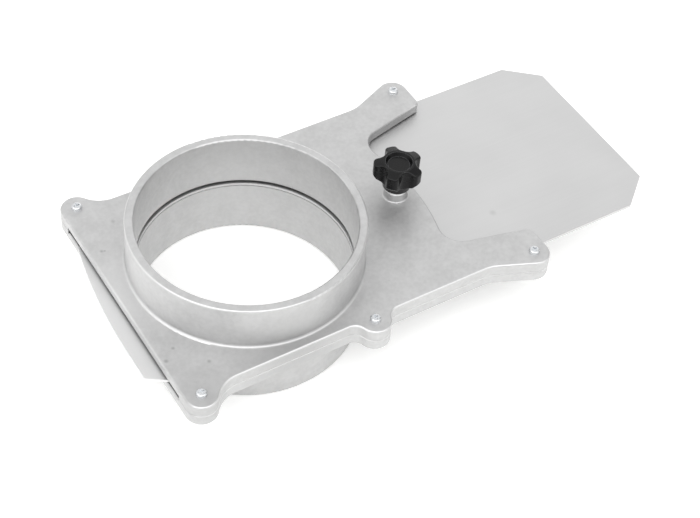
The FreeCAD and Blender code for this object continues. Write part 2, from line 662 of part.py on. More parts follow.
def at_each_ear(label, pattern, height):
    """One object that holds a copy of a pattern piece at each of the six ears."""
    doc.recompute()
    copies = []
    for x in (f"-{EAR_LEFT}", EAR_MIDDLE, EAR_RIGHT):
        for y in (f"-{EAR_LINE}", EAR_LINE):
            copy = pattern.Shape.copy()
            copy.translate(FreeCAD.Vector(value(x), value(y), value(height)))
            copies.append(copy)
    group = doc.addObject("Part::Feature", label)
    group.Label = label
    group.Shape = Part.makeCompound(copies)
    return group


# %% Assembly

upper_half = casting("upper_half", has_boss=True)
lower_half = casting("lower_half", has_boss=False)
lower_half.Placement = FreeCAD.Placement(
    FreeCAD.Vector(0, 0, 0), FreeCAD.Rotation(FreeCAD.Vector(1, 0, 0), 180))
screw = screw_pattern()
nut = nut_pattern()
subparts = [
    upper_half,
    lower_half,
    slide_gate(),
    lock_knob(),
    lock_stud(),
    at_each_ear("case_screws", screw, "sizes.plate_thick"),
    at_each_ear("case_nuts", nut, "-sizes.plate_thick"),
]
doc.recompute()

failed = [item.Label for item in doc.Objects if {"Invalid", "Error"} & set(item.State)]
if failed:
    raise RuntimeError(f"failed features: {failed}")
os.makedirs("parts", exist_ok=True)
for subpart in subparts:
    shape = subpart.Shape
    if shape.isNull() or not shape.isValid() or not shape.Solids:
        raise RuntimeError(f"{subpart.Label} has no valid solid")
for subpart in subparts:
    shape = subpart.Shape
    shape.exportStep(f"parts/{subpart.Label}.step")
    box = shape.BoundBox
    print(f"{subpart.Label}: {len(shape.Solids)} solid, {shape.Volume:.0f} mm3, "
          f"x {box.XMin:.1f} to {box.XMax:.1f}, y {box.YMin:.1f} to {box.YMax:.1f}, "
          f"z {box.ZMin:.1f} to {box.ZMax:.1f}")
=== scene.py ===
# %% [markdown]
# A cast aluminium blast gate, dressed for a studio photograph. The imported model already holds every
# piece at its real size, so this lesson is about finishes, light and a few fine details: the
# threads that a machinist would cut. The frame is loaded first and its box is kept.

# %% Load the frame
import math

import bpy
from mathutils import Matrix, Vector


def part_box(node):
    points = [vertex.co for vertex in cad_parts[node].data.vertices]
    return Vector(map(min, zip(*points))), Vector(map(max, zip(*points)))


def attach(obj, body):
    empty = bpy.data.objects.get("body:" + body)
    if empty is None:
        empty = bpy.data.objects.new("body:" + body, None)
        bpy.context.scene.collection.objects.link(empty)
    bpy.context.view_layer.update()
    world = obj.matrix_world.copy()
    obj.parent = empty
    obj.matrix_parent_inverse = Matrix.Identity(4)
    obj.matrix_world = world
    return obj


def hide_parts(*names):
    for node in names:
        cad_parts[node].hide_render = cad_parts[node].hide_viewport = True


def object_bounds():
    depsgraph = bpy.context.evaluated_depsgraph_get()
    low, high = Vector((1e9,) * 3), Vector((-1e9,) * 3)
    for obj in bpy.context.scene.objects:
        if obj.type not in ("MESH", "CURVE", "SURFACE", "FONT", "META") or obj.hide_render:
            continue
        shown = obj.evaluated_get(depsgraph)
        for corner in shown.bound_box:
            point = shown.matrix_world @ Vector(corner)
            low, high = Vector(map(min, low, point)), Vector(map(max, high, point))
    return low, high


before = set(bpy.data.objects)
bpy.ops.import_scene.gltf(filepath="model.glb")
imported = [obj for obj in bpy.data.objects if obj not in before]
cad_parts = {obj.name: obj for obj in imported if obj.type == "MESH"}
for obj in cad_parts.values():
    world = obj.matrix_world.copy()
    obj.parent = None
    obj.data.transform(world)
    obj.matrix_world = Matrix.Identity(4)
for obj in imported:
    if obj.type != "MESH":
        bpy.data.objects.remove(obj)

cad_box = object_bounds()
MM = 0.001
print("model box in mm:", [[round(v / MM, 1) for v in corner] for corner in cad_box])

# %% [markdown]
# Three small helpers are used all through. Colours are given as sRGB hex values and turned
# into the linear light that shaders work in. Nodes are added by one function that takes their
# settings and links. Operators act on everything that is selected, so each step starts from
# nothing selected.

# %% Helpers


def linear(hex_colour):
    """Linear RGBA from an sRGB hex colour such as d0d0cc."""
    channels = [int(hex_colour[i:i + 2], 16) / 255 for i in (0, 2, 4)]
    light = [c / 12.92 if c <= 0.04045 else ((c + 0.055) / 1.055) ** 2.4 for c in channels]
    return (*light, 1.0)


def add_node(tree, kind, inputs=None, **settings):
    """Adds a node; an input may be a value or another node's output."""
    node = tree.nodes.new(kind)
    for name, setting in settings.items():
        setattr(node, name, setting)
    for name, given in (inputs or {}).items():
        if isinstance(given, bpy.types.NodeSocket):
            tree.links.new(given, node.inputs[name])
        else:
            node.inputs[name].default_value = given
    return node


def deselect_all():
    """Leaves nothing selected, so the next operator acts only on its own piece."""
    bpy.ops.object.select_all(action="DESELECT")


print("sRGB bcbcbc is", round(linear("bcbcbc")[0], 3), "in linear light")

# %% [markdown]
# The photograph looks down at the gate from the front left with a longish lens, and the camera is
# turned slightly about its own axis. The place, the angles and the lens were worked out from the
# ellipses of the rims and the corners of the slide.

# %% Camera
CAMERA_PLACE = Vector((-355.9, -609.7, 790.9)) * MM
CAMERA_AZIMUTH = math.radians(-35.67)
CAMERA_ELEVATION = math.radians(47.9)
CAMERA_ROLL = math.radians(5.78)
LENS = 85.05
SENSOR_WIDTH = 36.0
VIEW_END = 20.0

deselect_all()
bpy.ops.object.camera_add(location=CAMERA_PLACE)
camera = bpy.context.object
camera.name = "photo_camera"
camera.data.lens = LENS
camera.data.sensor_width = SENSOR_WIDTH
camera.data.clip_end = VIEW_END
tilt = Matrix.Rotation(math.pi / 2 - CAMERA_ELEVATION, 4, "X")
turn = Matrix.Rotation(CAMERA_AZIMUTH, 4, "Z")
roll = Matrix.Rotation(CAMERA_ROLL, 4, "Z")
camera.matrix_world = Matrix.Translation(CAMERA_PLACE) @ turn @ tilt @ roll
bpy.context.scene.camera = camera
bpy.context.scene.view_settings.view_transform = "Standard"
print("camera", [round(v, 3) for v in camera.location], "lens", LENS)

# %% [markdown]
# The gate stands on its lower rim on a white table. A wide plane is enough, because the camera looks
# down too steeply to see where it ends. Painted board is a little off pure white and matt. A faint
# glow of its own lifts it to the white of a studio picture, and softens the shadow under the gate.

# %% Floor
FLOOR_SIZE = 8.0
FLOOR_GLOW = 0.25
floor_height = cad_box[0][2]

deselect_all()
bpy.ops.mesh.primitive_plane_add(size=FLOOR_SIZE, location=(0, 0, floor_height))
floor = bpy.context.object
floor.name = "floor"
bpy.ops.object.transform_apply(location=True, rotation=True, scale=True)
white_board = bpy.data.materials.new("white_painted_board")
white_board.use_nodes = True
board = white_board.node_tree.nodes["Principled BSDF"]
board.inputs["Base Color"].default_value = linear("f6f6f5")
board.inputs["Roughness"].default_value = 0.9
board.inputs["Specular IOR Level"].default_value = 0.1
board.inputs["Emission Color"].default_value = linear("ffffff")
board.inputs["Emission Strength"].default_value = FLOOR_GLOW
floor.data.materials.append(white_board)
print("floor at", round(floor_height / MM, 2), "mm")

# %% [markdown]
# Metal shows what it reflects, so a photographer lights it with a tent of white panels. Here the
# panels are soft round patches of light on the world's sphere, brightest in front and at the sides,
# and low behind the gate. Each patch is the exponential of how nearly a direction points at it,
# so it has no edge, and neighbouring patches melt into one another.

# %% Light tent
PANEL_SHARPNESS = 8.0
TENT_PANELS = {
    # (azimuth, elevation) in degrees: brightness
    (0, 90): 0.22,
    (60, 55): 0.34,
    (120, 55): 0.48,
    (180, 55): 1.28,
    (240, 55): 1.46,
    (300, 55): 1.43,
    (0, 20): 0.25,
    (45, 20): 1.25,
    (90, 20): 0.49,
    (135, 20): 0.65,
    (180, 20): 0.85,
    (225, 20): 0.41,
    (270, 20): 0.11,
    (315, 20): 0.78,
}

world = bpy.data.worlds.new("light_tent")
bpy.context.scene.world = world
world.use_nodes = True
tent = world.node_tree
tent.nodes.clear()
direction = add_node(tent, "ShaderNodeTexCoord").outputs["Generated"]
glow = 0.0
for (azimuth, elevation), brightness in TENT_PANELS.items():
    around = math.radians(azimuth)
    up = math.radians(elevation)
    toward = (math.cos(up) * math.cos(around), math.cos(up) * math.sin(around), math.sin(up))
    nearness = add_node(tent, "ShaderNodeVectorMath", {
        0: direction, 1: toward}, operation="DOT_PRODUCT").outputs["Value"]
    falloff = add_node(tent, "ShaderNodeMath", {
        0: nearness, 1: PANEL_SHARPNESS, 2: -PANEL_SHARPNESS},
        operation="MULTIPLY_ADD").outputs["Value"]
    patch = add_node(tent, "ShaderNodeMath", {0: falloff}, operation="EXPONENT").outputs["Value"]
    glow = add_node(tent, "ShaderNodeMath", {
        0: patch, 1: brightness, 2: glow}, operation="MULTIPLY_ADD").outputs["Value"]
sky = add_node(tent, "ShaderNodeBackground", {"Color": linear("ffffff"), "Strength": glow})
add_node(tent, "ShaderNodeOutputWorld", {"Surface": sky.outputs["Background"]})
print("tent panels:", len(TENT_PANELS))

# %% [markdown]
# Every finish starts in the same way: a material with its node tree, its shader, and the place on
# the gate in metres. Object coordinates give that place, because every piece's object stays at the
# origin, so a pattern keeps its real size and doesn't slide. A noise seldom leaves the middle of its
# range, so a roughness that follows it is stretched over that middle part.

# %% New finish
NOISE_LOW = 0.3
NOISE_HIGH = 0.7


def new_finish(name):
    """A material, its node tree, its shader and the place on the gate in metres."""
    material = bpy.data.materials.new(name)
    material.use_nodes = True
    tree = material.node_tree
    where = add_node(tree, "ShaderNodeTexCoord").outputs["Object"]
    return material, tree, tree.nodes["Principled BSDF"], where


def near(tree, where, centre, reach):
    """1 at a place on the gate, falling smoothly to 0 at the reach from it."""
    away = add_node(tree, "ShaderNodeVectorMath", {
        0: where, 1: centre}, operation="DISTANCE").outputs["Value"]
    return add_node(tree, "ShaderNodeMapRange", {
        "Value": away, "From Min": reach, "From Max": 0.0},
        interpolation_type="SMOOTHSTEP").outputs["Result"]


print("materials so far:", [material.name for material in bpy.data.materials])

# %% [markdown]
# A real casting is never even all over. The photograph shows a few small stains at the left of the
# upper plate. Broad lighter and darker patches on the plate are painted light and painted shade.
# Noise can't put them in their places, so each is listed with its place and size.

# %% Stains and painted light and shade on the castings
PLATE_TOP = 8.4 * MM
MARKS_AND_PAINTED_PATCHES = [
    # x, y and radius in mm, on the upper plate; how strong; colour
    (-79.5, 44.0, 1.8, 0.55, "8c8c8c"),
    (-77.6, 43.4, 1.2, 0.55, "8c8c8c"),
    (-75.9, -46.9, 1.8, 0.5, "8c8c8c"),
    (-84.1, -53.8, 2.2, 0.55, "8c8c8c"),
    (-61.6, -66.0, 2.0, 0.5, "8c8c8c"),
    (-61.7, 64.0, 2.2, 0.35, "8c8c8c"),
    # broad patches: e4e4e4 is painted light, adadad is painted shade
    (-80.0, 5.0, 48.0, 0.5, "e4e4e4"),
    (35.0, 85.0, 60.0, 0.35, "e4e4e4"),
    (-10.0, -88.0, 50.0, 0.6, "adadad"),
    (-75.0, -90.0, 30.0, 0.4, "adadad"),
]


def with_marks_and_painted_patches(tree, where, tone):
    """The tone with the listed stains and the patches of painted light and shade over it."""
    for x, y, radius, strength, colour in MARKS_AND_PAINTED_PATCHES:
        on_mark = near(tree, where, (x * MM, y * MM, PLATE_TOP), radius * MM)
        share = add_node(tree, "ShaderNodeMath", {
            0: on_mark, 1: strength}, operation="MULTIPLY").outputs["Value"]
        tone = add_node(tree, "ShaderNodeMix", {
            "Factor": share, "A": tone, "B": linear(colour)},
            data_type="RGBA").outputs["Result"]
    return tone


print("marks and patches:", len(MARKS_AND_PAINTED_PATCHES))

# %% [markdown]
# The two castings are aluminium, cast in sand and then tumbled, which leaves a pale satin skin.
# Bare metal has no colour under its shine, so the look comes from its tone, roughness and bump. The
# tone has a cloudiness in patches of about 12 mm and a mottle of about 3 mm. Small pits about 1 mm
# wide lie some 25 mm apart. They come from a Voronoi pattern, which is dark only near its points.

# %% Skin of the castings
CLOUD_SIZE = 12 * MM
MOTTLE_SIZE = 3 * MM
PIT_SPACING = 25 * MM
DARK_SKIN_AT = 0.36
PALE_SKIN_AT = 0.64


def casting_skin(tree, where):
    """The tone of the skin with its stains and painted patches, the variation behind it, and 1
    everywhere but in the pits.
    """
    cloud = add_node(tree, "ShaderNodeTexNoise", {
        "Vector": where, "Scale": 1 / CLOUD_SIZE, "Detail": 3.0, "Roughness": 0.5})
    mottle = add_node(tree, "ShaderNodeTexNoise", {
        "Vector": where, "Scale": 1 / MOTTLE_SIZE, "Detail": 3.0, "Roughness": 0.6})
    variation = add_node(tree, "ShaderNodeMix", {
        "Factor": 0.5, "A": cloud.outputs["Fac"], "B": mottle.outputs["Fac"]}).outputs["Result"]
    skin = add_node(tree, "ShaderNodeValToRGB", {"Fac": variation})
    skin.color_ramp.elements[0].position = DARK_SKIN_AT
    skin.color_ramp.elements[0].color = linear("c3c3c3")
    skin.color_ramp.elements[1].position = PALE_SKIN_AT
    skin.color_ramp.elements[1].color = linear("cfcfcf")

    pits = add_node(tree, "ShaderNodeTexVoronoi", {
        "Vector": where, "Scale": 1 / PIT_SPACING, "Randomness": 1.0}, feature="F1")
    off_pit = add_node(tree, "ShaderNodeMapRange", {
        "Value": pits.outputs["Distance"], "From Min": 0.01, "From Max": 0.035},
        interpolation_type="SMOOTHSTEP").outputs["Result"]
    pitted = add_node(tree, "ShaderNodeMix", {
        "Factor": off_pit, "A": linear("9b9b9b"), "B": skin.outputs["Color"]},
        data_type="RGBA").outputs["Result"]
    return with_marks_and_painted_patches(tree, where, pitted), variation, off_pit


print("pits are", round(PIT_SPACING / MM), "mm apart")

# %% [markdown]
# Rounds that face upward get a painted highlight. Every flat of these castings is level or
# upright, so a surface whose normal leans between the two is a round, and the normal's height finds
# it. It is 1 on a level face, 0 on an upright one. A round gets the full painted highlight over the
# middle of its curve, and it fades at both of its ends.

# %% Painted highlight on the rounds
ROUND_STARTS = 0.12
ROUND_FULL_FROM = 0.5
ROUND_FULL_TO = 0.86
ROUND_ENDS = 0.97


def facing_up(tree):
    """1 on a level face seen from above, 0 on an upright face, and between on a round."""
    normal = add_node(tree, "ShaderNodeNewGeometry").outputs["Normal"]
    return add_node(tree, "ShaderNodeSeparateXYZ", {"Vector": normal}).outputs["Z"]


def upper_rounds(tree, facing):
    """1 on the rounds between an upright face and the level face above it, 0 elsewhere."""
    off_upright = add_node(tree, "ShaderNodeMapRange", {
        "Value": facing, "From Min": ROUND_STARTS, "From Max": ROUND_FULL_FROM},
        interpolation_type="SMOOTHSTEP").outputs["Result"]
    off_level = add_node(tree, "ShaderNodeMapRange", {
        "Value": facing, "From Min": ROUND_ENDS, "From Max": ROUND_FULL_TO},
        interpolation_type="SMOOTHSTEP").outputs["Result"]
    return add_node(tree, "ShaderNodeMath", {
        0: off_upright, 1: off_level}, operation="MULTIPLY").outputs["Value"]


print("rounds lean between", round(math.degrees(math.acos(ROUND_ENDS))), "and",
      round(math.degrees(math.acos(ROUND_STARTS))), "degrees")

# %% [markdown]
# The painted highlight is left off the rounds at the slot's end, in the notch and inside the
# duct, and mostly off the root of a collar. Each of these is found from where it is: along the gate,
# across it, above the middle, or out from the duct's axis. Two limits say where it starts and where
# it is there in full.

# %% Rounds without painted highlight
REGIONS = {
    # name: which measure, where it starts and where it is full, in mm
    "slot_end": ("along", -84.0, -87.0),
    "notch_start": ("along", 112.0, 118.0),
    "notch_width": ("across", 68.0, 62.0),
    "root_foot": ("above", 8.4, 8.7),
    "root_head": ("above", 12.0, 11.0),
    "duct": ("out", 72.5, 71.5),
}
ROOT_HIGHLIGHT_REMOVED = 0.65
DUCT_HIGHLIGHT_REMOVED = 0.9


def regions(tree, where):
    """How far each named region holds at a place, from 0 to 1."""
    place = add_node(tree, "ShaderNodeSeparateXYZ", {"Vector": where})
    level = add_node(tree, "ShaderNodeVectorMath", {0: where, 1: (1, 1, 0)}, operation="MULTIPLY")
    measures = {
        "along": place.outputs["X"],
        "across": add_node(tree, "ShaderNodeMath", {
            0: place.outputs["Y"]}, operation="ABSOLUTE").outputs["Value"],
        "above": place.outputs["Z"],
        "out": add_node(tree, "ShaderNodeVectorMath", {
            0: level.outputs["Vector"]}, operation="LENGTH").outputs["Value"],
    }
    held = {}
    for name, (measure, start, full) in REGIONS.items():
        held[name] = add_node(tree, "ShaderNodeMapRange", {
            "Value": measures[measure], "From Min": start * MM, "From Max": full * MM},
            interpolation_type="SMOOTHSTEP").outputs["Result"]
    return held


def highlight_removal(tree, where):
    """How much painted highlight each place's rounds lose, and whether it is in the notch or at the
    slot's end.
    """
    held = regions(tree, where)
    notch = add_node(tree, "ShaderNodeMath", {
        0: held["notch_start"], 1: held["notch_width"]}, operation="MULTIPLY").outputs["Value"]
    root = add_node(tree, "ShaderNodeMath", {
        0: held["root_foot"], 1: held["root_head"]}, operation="MULTIPLY").outputs["Value"]
    highlight_removed = held["slot_end"]
    # places where the painted highlight is taken off
    for place, share_removed in ((notch, 1.0), (root, ROOT_HIGHLIGHT_REMOVED), (held["duct"], DUCT_HIGHLIGHT_REMOVED)):
        share = add_node(tree, "ShaderNodeMath", {
            0: place, 1: share_removed}, operation="MULTIPLY").outputs["Value"]
        highlight_removed = add_node(tree, "ShaderNodeMath", {
            0: highlight_removed, 1: share}, operation="MAXIMUM").outputs["Value"]
    return highlight_removed, notch, held["slot_end"]


print("regions of the castings:", ", ".join(REGIONS))

# %% [markdown]
# Metal looks darker where it meets more metal, in roots, slots and under lips, and that shade is
# painted into its tone here. An Ambient Occlusion node measures how open the air over a point is: 1
# where nothing is near, down to 0 deep in a crevice narrower than its distance. The walls of the
# notch get painted shade too, and the slot's end gets the darkest painted shade.

# %% Painted highlight and shade on the castings
AIR_SAMPLES = 8
CASTING_CREVICE = 8 * MM
NOTCH_SHADE = 0.5


def casting_painted_light(tree, where, tone):
    """The tone with painted highlights on its rounds and painted shade in its crevices and notch, and
    how strong each place's painted highlight is.
    """
    air = add_node(tree, "ShaderNodeAmbientOcclusion", {
        "Distance": CASTING_CREVICE}, samples=AIR_SAMPLES).outputs["AO"]
    facing = facing_up(tree)
    highlight_removed, notch, slot_end = highlight_removal(tree, where)

    in_open = add_node(tree, "ShaderNodeMapRange", {
        "Value": air, "From Min": 0.45, "From Max": 0.75},
        interpolation_type="SMOOTHSTEP").outputs["Result"]
    rounds = add_node(tree, "ShaderNodeMath", {
        0: upper_rounds(tree, facing), 1: in_open}, operation="MULTIPLY").outputs["Value"]
    highlight_kept = add_node(tree, "ShaderNodeMath", {
        0: 1.0, 1: highlight_removed}, operation="SUBTRACT").outputs["Value"]
    painted_highlight = add_node(tree, "ShaderNodeMath", {
        0: rounds, 1: highlight_kept}, operation="MULTIPLY").outputs["Value"]
    # painted highlight: a paler tone on the upward-facing rounds
    tone = add_node(tree, "ShaderNodeMix", {
        "Factor": painted_highlight, "A": tone, "B": linear("dadada")},
        data_type="RGBA").outputs["Result"]

    # painted shade on the walls of the notch
    off_level = add_node(tree, "ShaderNodeMapRange", {
        "Value": facing, "From Min": 0.99, "From Max": 0.8},
        interpolation_type="SMOOTHSTEP").outputs["Result"]
    notch_walls = add_node(tree, "ShaderNodeMath", {
        0: off_level, 1: notch}, operation="MULTIPLY").outputs["Value"]
    shaded = add_node(tree, "ShaderNodeMath", {
        0: notch_walls, 1: NOTCH_SHADE}, operation="MULTIPLY").outputs["Value"]
    tone = add_node(tree, "ShaderNodeMix", {
        "Factor": shaded, "A": tone, "B": linear("8e8e8e")},
        data_type="RGBA").outputs["Result"]

    # painted shade in the crevices
    out_of_crevice = add_node(tree, "ShaderNodeMapRange", {
        "Value": air, "From Min": 0.08, "From Max": 0.36},
        interpolation_type="SMOOTHSTEP").outputs["Result"]
    out_of_painted_shade = add_node(tree, "ShaderNodeMath", {
        0: out_of_crevice, 1: notch}, operation="MAXIMUM").outputs["Value"]
    tone = add_node(tree, "ShaderNodeMix", {
        "Factor": out_of_painted_shade, "A": linear("666666"), "B": tone},
        data_type="RGBA").outputs["Result"]

    # the darkest painted shade, in the slot at its end
    out_of_slot = add_node(tree, "ShaderNodeMapRange", {
        "Value": air, "From Min": 0.25, "From Max": 0.8},
        interpolation_type="SMOOTHSTEP").outputs["Result"]
    off_slot_end = add_node(tree, "ShaderNodeMath", {
        0: 1.0, 1: slot_end}, operation="SUBTRACT").outputs["Value"]
    out_of_slot_shade = add_node(tree, "ShaderNodeMath", {
        0: out_of_slot, 1: off_slot_end}, operation="MAXIMUM").outputs["Value"]
    tone = add_node(tree, "ShaderNodeMix", {
        "Factor": out_of_slot_shade, "A": linear("323232"), "B": tone},
        data_type="RGBA").outputs["Result"]
    return tone, painted_highlight


print("crevices reach", round(CASTING_CREVICE / MM), "mm into the castings")

# %% [markdown]
# The finish of the castings puts the skin and the painted light and shade together. It is fully
# metallic and satin, a little glossier on the rounds with painted highlight, with a grain of 0.5 mm
# and the pits in its bump.

# %% Cast aluminium
GRAIN_SIZE = 0.5 * MM
GRAIN_HEIGHT = 0.05 * MM
PIT_DEPTH = 0.2 * MM
ROUND_ROUGHNESS = 0.34


def cast_aluminium():
    """Sand-cast and tumbled aluminium alloy: satin, faintly clouded, lightly pitted."""
    material, tree, shader, where = new_finish("tumbled_cast_aluminium")
    skin, variation, off_pit = casting_skin(tree, where)
    tone, painted_highlight = casting_painted_light(tree, where, skin)
    tree.links.new(tone, shader.inputs["Base Color"])
    satin = add_node(tree, "ShaderNodeMapRange", {
        "Value": variation, "From Min": NOISE_LOW, "From Max": NOISE_HIGH,
        "To Min": 0.5, "To Max": 0.6})
    gloss = add_node(tree, "ShaderNodeMix", {
        "Factor": painted_highlight, "A": satin.outputs["Result"], "B": ROUND_ROUGHNESS})
    tree.links.new(gloss.outputs["Result"], shader.inputs["Roughness"])
    shader.inputs["Metallic"].default_value = 1.0

    grain = add_node(tree, "ShaderNodeTexNoise", {
        "Vector": where, "Scale": 1 / GRAIN_SIZE, "Detail": 2.0, "Roughness": 0.6})
    rough = add_node(tree, "ShaderNodeBump", {
        "Height": grain.outputs["Fac"], "Strength": 0.25, "Distance": GRAIN_HEIGHT})
    dimpled = add_node(tree, "ShaderNodeBump", {
        "Height": off_pit, "Strength": 0.5, "Distance": PIT_DEPTH,
        "Normal": rough.outputs["Normal"]})
    tree.links.new(dimpled.outputs["Normal"], shader.inputs["Normal"])
    return material


casting = cast_aluminium()
print(casting.name, "nodes:", len(casting.node_tree.nodes))

# %% [markdown]
# The slide is cut from rolled aluminium sheet, which is flatter and smoother than the castings. Its
# mill finish is a dull mirror. The rolls leave a very faint grain along its length, drawn here
# coarser than the real one so that it shows, and handling leaves soft smudges and a small dull
# spot. The end beyond the castings on the left gets painted light, and the crevices get painted
# shade.

# %% Tone of the sheet
DARK_SHEET_AT = 0.35
PALE_SHEET_AT = 0.65
SPOT_PLACE = (166.6 * MM, -38.7 * MM, 0.4 * MM)
SPOT_REACH = 3.5 * MM
SPOT_STRENGTH = 0.3
PAINTED_LIGHT_END_START = -84 * MM
PAINTED_LIGHT_END_FULL = -88 * MM
SHEET_CREVICE = 5 * MM


def sheet_tone(tree, where, variation):
    """The sheet's tone with its dull spot, painted light on its left end and painted shade in its
    crevices.
    """
    tone = add_node(tree, "ShaderNodeValToRGB", {"Fac": variation})
    tone.color_ramp.elements[0].position = DARK_SHEET_AT
    tone.color_ramp.elements[0].color = linear("cecece")
    tone.color_ramp.elements[1].position = PALE_SHEET_AT
    tone.color_ramp.elements[1].color = linear("d3d3d3")
    on_spot = add_node(tree, "ShaderNodeMath", {
        0: near(tree, where, SPOT_PLACE, SPOT_REACH), 1: SPOT_STRENGTH}, operation="MULTIPLY")
    spotted = add_node(tree, "ShaderNodeMix", {
        "Factor": on_spot.outputs["Value"], "A": tone.outputs["Color"], "B": linear("a4a4a4")},
        data_type="RGBA")
    along = add_node(tree, "ShaderNodeSeparateXYZ", {"Vector": where}).outputs["X"]
    # painted light on the end beyond the castings on the left
    on_end = add_node(tree, "ShaderNodeMapRange", {
        "Value": along, "From Min": PAINTED_LIGHT_END_START, "From Max": PAINTED_LIGHT_END_FULL},
        interpolation_type="SMOOTHSTEP")
    with_painted_light_end = add_node(tree, "ShaderNodeMix", {
        "Factor": on_end.outputs["Result"], "A": spotted.outputs["Result"],
        "B": linear("e2e2e2")}, data_type="RGBA")
    # painted shade in the sheet's crevices
    air = add_node(tree, "ShaderNodeAmbientOcclusion", {
        "Distance": SHEET_CREVICE}, samples=AIR_SAMPLES).outputs["AO"]
    out_of_crevice = add_node(tree, "ShaderNodeMapRange", {
        "Value": air, "From Min": 0.08, "From Max": 0.4}, interpolation_type="SMOOTHSTEP")
    return add_node(tree, "ShaderNodeMix", {
        "Factor": out_of_crevice.outputs["Result"], "A": linear("808080"),
        "B": with_painted_light_end.outputs["Result"]}, data_type="RGBA").outputs["Result"]


print("dull spot at", [round(v / MM, 1) for v in SPOT_PLACE], "mm")

# %% [markdown]
# One variation, made of the smudges and the rolling grain, drives both the tone and the roughness,
# because a smudge on metal is seen in both.

# %% Sheet aluminium
SMUDGE_SIZE = 60 * MM
ROLLING_WIDTH = 1.2 * MM
ROLLING_STRETCH = (0.02, 1.0, 1.0)


def sheet_aluminium():
    """Mill-finish rolled aluminium sheet with a faint rolling grain and smudges."""
    material, tree, shader, where = new_finish("rolled_sheet_aluminium")
    smudge = add_node(tree, "ShaderNodeTexNoise", {
        "Vector": where, "Scale": 1 / SMUDGE_SIZE, "Detail": 2.0, "Roughness": 0.5})
    stretched = add_node(tree, "ShaderNodeMapping", {"Vector": where, "Scale": ROLLING_STRETCH})
    rolling = add_node(tree, "ShaderNodeTexNoise", {
        "Vector": stretched.outputs["Vector"], "Scale": 1 / ROLLING_WIDTH, "Detail": 2.0})
    variation = add_node(tree, "ShaderNodeMix", {
        "Factor": 0.3, "A": smudge.outputs["Fac"], "B": rolling.outputs["Fac"]}).outputs["Result"]
    tree.links.new(sheet_tone(tree, where, variation), shader.inputs["Base Color"])
    satin = add_node(tree, "ShaderNodeMapRange", {
        "Value": variation, "From Min": NOISE_LOW, "From Max": NOISE_HIGH,
        "To Min": 0.46, "To Max": 0.5})
    tree.links.new(satin.outputs["Result"], shader.inputs["Roughness"])
    shader.inputs["Metallic"].default_value = 1.0
    return material


sheet = sheet_aluminium()
print(sheet.name, "nodes:", len(sheet.node_tree.nodes))

# %% [markdown]
# The star knob is moulded in black phenolic plastic. Such mouldings are black all through, with a
# skin that is glossy where the tool was polished. Fingers dull the flats, and the edges get a
# painted highlight. A Bevel node gives the normal that a rounder edge would have, and where that
# turns away from the real one there is an edge.

# %% Black plastic
FINGER_SIZE = 6 * MM
EDGE_HIGHLIGHT_WIDTH = 0.9 * MM
BEVEL_SAMPLES = 6


def black_plastic():
    """Moulded black phenolic plastic, glossy, with a painted highlight along its edges."""
    material, tree, shader, where = new_finish("moulded_black_phenolic")
    handled = add_node(tree, "ShaderNodeTexNoise", {
        "Vector": where, "Scale": 1 / FINGER_SIZE, "Detail": 3.0, "Roughness": 0.6}).outputs["Fac"]
    satin = add_node(tree, "ShaderNodeMapRange", {
        "Value": handled, "From Min": NOISE_LOW, "From Max": NOISE_HIGH,
        "To Min": 0.2, "To Max": 0.32})
    tree.links.new(satin.outputs["Result"], shader.inputs["Roughness"])

    rounder = add_node(tree, "ShaderNodeBevel", {"Radius": EDGE_HIGHLIGHT_WIDTH}, samples=BEVEL_SAMPLES)
    real = add_node(tree, "ShaderNodeNewGeometry")
    alike = add_node(tree, "ShaderNodeVectorMath", {
        0: rounder.outputs["Normal"], 1: real.outputs["Normal"]}, operation="DOT_PRODUCT")
    edge_highlight = add_node(tree, "ShaderNodeMapRange", {
        "Value": alike.outputs["Value"], "From Min": 0.995, "From Max": 0.88},
        interpolation_type="SMOOTHSTEP")
    black = add_node(tree, "ShaderNodeMix", {
        "Factor": handled, "A": linear("040405"), "B": linear("090909")}, data_type="RGBA")
    # painted highlight along the knob's edges
    with_edge_highlight = add_node(tree, "ShaderNodeMix", {
        "Factor": edge_highlight.outputs["Result"], "A": black.outputs["Result"],
        "B": linear("4e4e50")}, data_type="RGBA")
    tree.links.new(with_edge_highlight.outputs["Result"], shader.inputs["Base Color"])
    shader.inputs["IOR"].default_value = 1.5
    shader.inputs["Specular IOR Level"].default_value = 0.28
    return material


plastic = black_plastic()
print(plastic.name, "nodes:", len(plastic.node_tree.nodes))

# %% [markdown]
# The screws, nuts and stud are steel with bright zinc plate: a little bluer and shinier than the
# castings, with the tiny unevenness that plating has.

# %% Zinc-plated steel
SPANGLE_SIZE = 1.5 * MM


def zinc_steel():
    """Bright zinc-plated steel."""
    material, tree, shader, where = new_finish("bright_zinc_plated_steel")
    spangle = add_node(tree, "ShaderNodeTexNoise", {
        "Vector": where, "Scale": 1 / SPANGLE_SIZE, "Detail": 2.0}).outputs["Fac"]
    satin = add_node(tree, "ShaderNodeMapRange", {
        "Value": spangle, "From Min": NOISE_LOW, "From Max": NOISE_HIGH,
        "To Min": 0.22, "To Max": 0.32})
    tree.links.new(satin.outputs["Result"], shader.inputs["Roughness"])
    tone = add_node(tree, "ShaderNodeMix", {
        "Factor": spangle, "A": linear("d6d8da"), "B": linear("e4e6e8")}, data_type="RGBA")
    tree.links.new(tone.outputs["Result"], shader.inputs["Base Color"])
    shader.inputs["Metallic"].default_value = 1.0
    return material


zinc = zinc_steel()
print(zinc.name, "nodes:", len(zinc.node_tree.nodes))

# %% [markdown]
# Each piece of the frame takes its finish by its material slot, so its mesh stays as it came.

